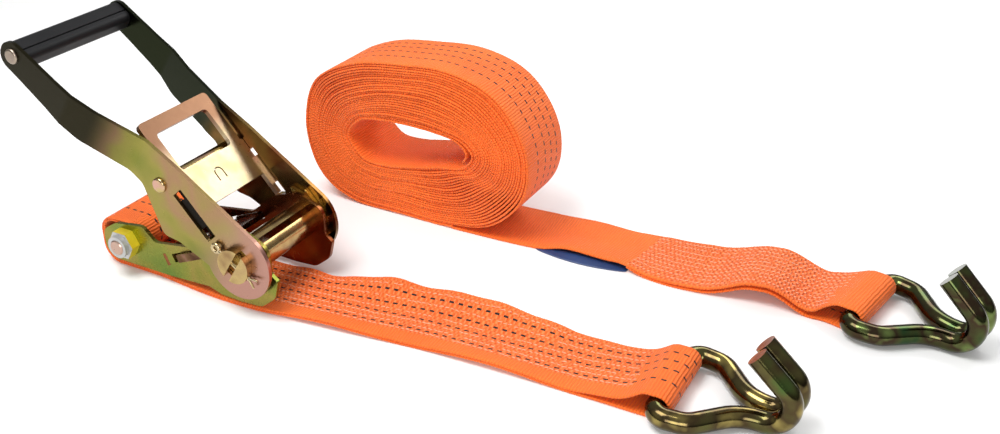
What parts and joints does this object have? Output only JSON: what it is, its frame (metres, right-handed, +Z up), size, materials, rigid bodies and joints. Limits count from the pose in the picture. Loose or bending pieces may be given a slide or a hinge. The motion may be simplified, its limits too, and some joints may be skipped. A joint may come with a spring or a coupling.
{
  "type": "ratchet tie down",
  "caption": "Ratchet tie down with its handle part open, a short strap and a rolled long strap of woven webbing, each with a double claw hook.",
  "frame": {"origin": "bottom centre of the whole set's bounding box, on the surface the straps lie on", "axes": "+X along the straps towards the hooks, +Y along the ratchet's spindle towards the rolled strap, +Z up"},
  "size_m": [0.5544, 0.2266, 0.1495],
  "materials": {
    "plated_steel": "yellow passivated zinc, glossy with a rainbow tint",
    "dark_plated_steel": "yellow passivated zinc, darker bronze tint",
    "bright_steel": "bright zinc, satin",
    "grip": "black plastic",
    "webbing": "orange woven polyester with black tracer marks and pale stitching",
    "hook_steel": "yellow passivated zinc, greener on the bent bar",
    "label": "blank dark blue tape"
  },
  "bodies": {
    "frame": {"frame_plate_near": "plated_steel", "frame_plate_far": "dark_plated_steel", "frame_cross_plate": "plated_steel", "anchor_bolt": "plated_steel", "anchor_nut": "plated_steel", "anchor_washer": "plated_steel", "anchor_sleeve": "bright_steel", "base_pawl_spring": "bright_steel"},
    "spindle": {"spindle_half_rear": "plated_steel", "spindle_half_front": "plated_steel", "ratchet_wheel_near": "plated_steel", "ratchet_wheel_far": "plated_steel", "split_pin_near": "bright_steel", "split_pin_far": "bright_steel"},
    "base_pawl": {"base_pawl": "plated_steel"},
    "handle": {"handle_plate_near": "plated_steel", "handle_plate_far": "plated_steel", "handle_cross_rod": "plated_steel", "grip_rod": "plated_steel", "grip_cover": "grip", "handle_pawl_spring": "bright_steel"},
    "handle_pawl": {"handle_pawl": "plated_steel"},
    "short_strap": {"short_strap": "webbing"},
    "short_hook": {"short_strap_hook": "hook_steel"},
    "long_strap": {"long_strap": "webbing", "strap_label": "label"},
    "long_hook": {"long_strap_hook": "hook_steel"}
  },
  "joints": [
    {"name": "handle_swing", "type": "hinge", "parent": "frame", "child": "handle", "pos_m": [-0.12136, -0.06696, 0.035], "axis": [0, 1, 0], "range_deg": [0, 145]},
    {"name": "spindle_spin", "type": "hinge", "parent": "frame", "child": "spindle", "pos_m": [-0.12136, -0.06696, 0.035], "axis": [0, 1, 0], "continuous": true},
    {"name": "base_pawl_slide", "type": "slide", "parent": "frame", "child": "base_pawl", "axis": [-0.9205, 0, -0.3907], "range_m": [0, 0.006], "stiffness_N_per_m": 400, "springref_m": -0.004, "deforming": ["base_pawl_spring"]},
    {"name": "handle_pawl_slide", "type": "slide", "parent": "handle", "child": "handle_pawl", "axis": [-0.6691, 0, 0.7431], "range_m": [-0.003, 0.0045], "stiffness_N_per_m": 900, "springref_m": 0.0006, "deforming": ["handle_pawl_spring"]},
    {"name": "short_strap_swing", "type": "hinge", "parent": "frame", "child": "short_strap", "pos_m": [-0.21536, -0.06696, 0.022], "axis": [0, 1, 0], "range_deg": [0, 120]},
    {"name": "short_hook_swing", "type": "hinge", "parent": "short_strap", "child": "short_hook", "pos_m": [0.13314, -0.05246, 0.00815], "axis": [0, -1, 0], "range_deg": [0, 100]},
    {"name": "long_strap_lift", "type": "slide", "parent": "frame", "child": "long_strap", "axis": [0, 0, 1], "range_m": [0, 0.2]},
    {"name": "long_hook_swing", "type": "hinge", "parent": "long_strap", "child": "long_hook", "pos_m": [0.20564, 0.07803, 0.00815], "axis": [-0.1702, -0.9854, 0], "range_deg": [0, 100]}
  ]
}
